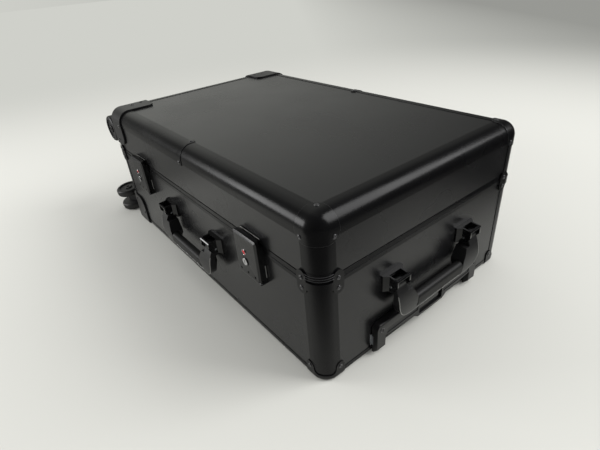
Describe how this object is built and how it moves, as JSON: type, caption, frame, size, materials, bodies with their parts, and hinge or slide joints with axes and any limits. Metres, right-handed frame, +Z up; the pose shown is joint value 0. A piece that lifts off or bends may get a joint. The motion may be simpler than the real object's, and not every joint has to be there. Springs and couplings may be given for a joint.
{
  "type": "hard shell suitcase on wheels",
  "caption": "Aluminium-framed hard shell case with hinged lid, dial latches, fold-down carry handles, pull-out trolley handle and twin-wheel swivel casters on one end.",
  "frame": {"origin": "middle of the flat underside that the case lies on", "axes": "+X along the case from the caster end to the trolley-grip end, -Y towards the latches and carry handle, +Y towards the hinges, +Z up through the lid"},
  "size_m": [0.6945, 0.4205, 0.2334],
  "materials": {
    "panel": "satin black",
    "frame": "black anodised, satin",
    "corner": "black, semi-gloss",
    "guard": "moulded, satin black",
    "gloss": "gloss black",
    "grip": "satin black",
    "tyre": "matte black",
    "steel": "bright",
    "chrome": "polished",
    "latch": "satin black",
    "tube": "anodised, satin",
    "lining": "padded cloth"
  },
  "bodies": {
    "base": {"base_floor_panel": "panel", "base_wall_panels": "panel", "base_bottom_rail": "frame", "base_corner_posts": "frame", "base_closure_frame": "frame", "base_ball_corners": "corner", "base_wheel_guards": "guard", "base_corner_brackets": "corner", "base_lining": "lining", "base_rivets": "corner", "trolley_outer_tubes": "tube", "trolley_brackets": "guard", "hinge_base_leaves": "corner", "hinge_pins": "steel", "latch_bodies": "latch", "latch_pins": "steel", "handle_hoods": "gloss", "handle_pins": "steel"},
    "lid": {"lid_top_panel": "panel", "lid_wall_panels": "panel", "lid_edge_rails": "frame", "lid_corner_posts": "frame", "lid_closure_frame": "frame", "lid_ball_corners": "corner", "lid_wheel_guards": "guard", "lid_joint_straps": "corner", "lid_rivets": "corner", "lid_lining": "lining", "hinge_lid_leaves": "corner", "latch_keepers": "steel"},
    "front_handle": {"front_handle_bail": "guard", "front_handle_grip": "grip"},
    "end_handle": {"end_handle_bail": "guard", "end_handle_grip": "grip"},
    "trolley_stage": {"trolley_inner_tubes": "tube", "trolley_grip": "guard"},
    "button": {"trolley_button": "gloss"},
    "latch_cover_1": {"latch_cover_1": "latch"},
    "key_cylinder_1": {"key_cylinder_1": "chrome"},
    "dial_1a": {"dial_1a": "gloss"},
    "dial_1b": {"dial_1b": "gloss"},
    "dial_1c": {"dial_1c": "gloss"},
    "latch_cover_2": {"latch_cover_2": "latch"},
    "key_cylinder_2": {"key_cylinder_2": "chrome"},
    "dial_2a": {"dial_2a": "gloss"},
    "dial_2b": {"dial_2b": "gloss"},
    "dial_2c": {"dial_2c": "gloss"},
    "base_caster_1": {"base_caster_fork_1": "guard", "base_caster_axle_1": "steel"},
    "base_caster_wheels_1": {"base_caster_wheels_1": "tyre"},
    "base_caster_2": {"base_caster_fork_2": "guard", "base_caster_axle_2": "steel"},
    "base_caster_wheels_2": {"base_caster_wheels_2": "tyre"},
    "lid_caster_1": {"lid_caster_fork_1": "guard", "lid_caster_axle_1": "steel"},
    "lid_caster_wheels_1": {"lid_caster_wheels_1": "tyre"},
    "lid_caster_2": {"lid_caster_fork_2": "guard", "lid_caster_axle_2": "steel"},
    "lid_caster_wheels_2": {"lid_caster_wheels_2": "tyre"}
  },
  "joints": [
    {"name": "lid_hinge", "type": "hinge", "parent": "base", "child": "lid", "pos_m": [0, 0.192, 0.157], "axis": [-1, 0, 0], "range_deg": [0, 100]},
    {"name": "front_handle_pivot", "type": "hinge", "parent": "base", "child": "front_handle", "pos_m": [0, -0.197, 0.1005], "axis": [-1, 0, 0], "range_deg": [0, 90]},
    {"name": "end_handle_pivot", "type": "hinge", "parent": "base", "child": "end_handle", "pos_m": [0.309, 0, 0.1005], "axis": [0, -1, 0], "range_deg": [0, 90]},
    {"name": "trolley_slide", "type": "slide", "parent": "base", "child": "trolley_stage", "axis": [1, 0, 0], "range_m": [0, 0.45]},
    {"name": "trolley_button_press", "type": "slide", "parent": "trolley_stage", "child": "button", "axis": [-1, 0, 0], "range_m": [0, 0.0023], "stiffness_N_per_m": 800},
    {"name": "latch_cover_pivot_1", "type": "hinge", "parent": "base", "child": "latch_cover_1", "pos_m": [0.176, -0.197, 0.1046], "axis": [1, 0, 0], "range_deg": [0, 110]},
    {"name": "key_turn_1", "type": "hinge", "parent": "latch_cover_1", "child": "key_cylinder_1", "pos_m": [0.173, -0.199, 0.126], "axis": [0, -1, 0], "range_deg": [0, 90]},
    {"name": "dial_turn_1a", "type": "hinge", "parent": "base", "child": "dial_1a", "pos_m": [0.1605, -0.1912, 0.1045], "axis": [1, 0, 0], "continuous": true},
    {"name": "dial_turn_1b", "type": "hinge", "parent": "base", "child": "dial_1b", "pos_m": [0.176, -0.1912, 0.1045], "axis": [1, 0, 0], "continuous": true},
    {"name": "dial_turn_1c", "type": "hinge", "parent": "base", "child": "dial_1c", "pos_m": [0.1915, -0.1912, 0.1045], "axis": [1, 0, 0], "continuous": true},
    {"name": "latch_cover_pivot_2", "type": "hinge", "parent": "base", "child": "latch_cover_2", "pos_m": [-0.176, -0.197, 0.1046], "axis": [1, 0, 0], "range_deg": [0, 110]},
    {"name": "key_turn_2", "type": "hinge", "parent": "latch_cover_2", "child": "key_cylinder_2", "pos_m": [-0.179, -0.199, 0.126], "axis": [0, -1, 0], "range_deg": [0, 90]},
    {"name": "dial_turn_2a", "type": "hinge", "parent": "base", "child": "dial_2a", "pos_m": [-0.1915, -0.1912, 0.1045], "axis": [1, 0, 0], "continuous": true},
    {"name": "dial_turn_2b", "type": "hinge", "parent": "base", "child": "dial_2b", "pos_m": [-0.176, -0.1912, 0.1045], "axis": [1, 0, 0], "continuous": true},
    {"name": "dial_turn_2c", "type": "hinge", "parent": "base", "child": "dial_2c", "pos_m": [-0.1605, -0.1912, 0.1045], "axis": [1, 0, 0], "continuous": true},
    {"name": "base_caster_swivel_1", "type": "hinge", "parent": "base", "child": "base_caster_1", "pos_m": [-0.308, -0.159, 0.029], "axis": [-1, 0, 0], "continuous": true},
    {"name": "base_caster_roll_1", "type": "hinge", "parent": "base_caster_1", "child": "base_caster_wheels_1", "pos_m": [-0.346, -0.18183, 0.0262], "axis": [0, -0.1219, 0.9925], "continuous": true},
    {"name": "base_caster_swivel_2", "type": "hinge", "parent": "base", "child": "base_caster_2", "pos_m": [-0.308, 0.159, 0.029], "axis": [-1, 0, 0], "continuous": true},
    {"name": "base_caster_roll_2", "type": "hinge", "parent": "base_caster_2", "child": "base_caster_wheels_2", "pos_m": [-0.346, 0.18183, 0.0262], "axis": [0, 0.1219, 0.9925], "continuous": true},
    {"name": "lid_caster_swivel_1", "type": "hinge", "parent": "lid", "child": "lid_caster_1", "pos_m": [-0.308, -0.159, 0.201], "axis": [-1, 0, 0], "continuous": true},
    {"name": "lid_caster_roll_1", "type": "hinge", "parent": "lid_caster_1", "child": "lid_caster_wheels_1", "pos_m": [-0.346, -0.159, 0.178], "axis": [0, 1, 0], "continuous": true},
    {"name": "lid_caster_swivel_2", "type": "hinge", "parent": "lid", "child": "lid_caster_2", "pos_m": [-0.308, 0.159, 0.201], "axis": [-1, 0, 0], "continuous": true},
    {"name": "lid_caster_roll_2", "type": "hinge", "parent": "lid_caster_2", "child": "lid_caster_wheels_2", "pos_m": [-0.346, 0.159, 0.178], "axis": [0, 1, 0], "continuous": true}
  ]
}
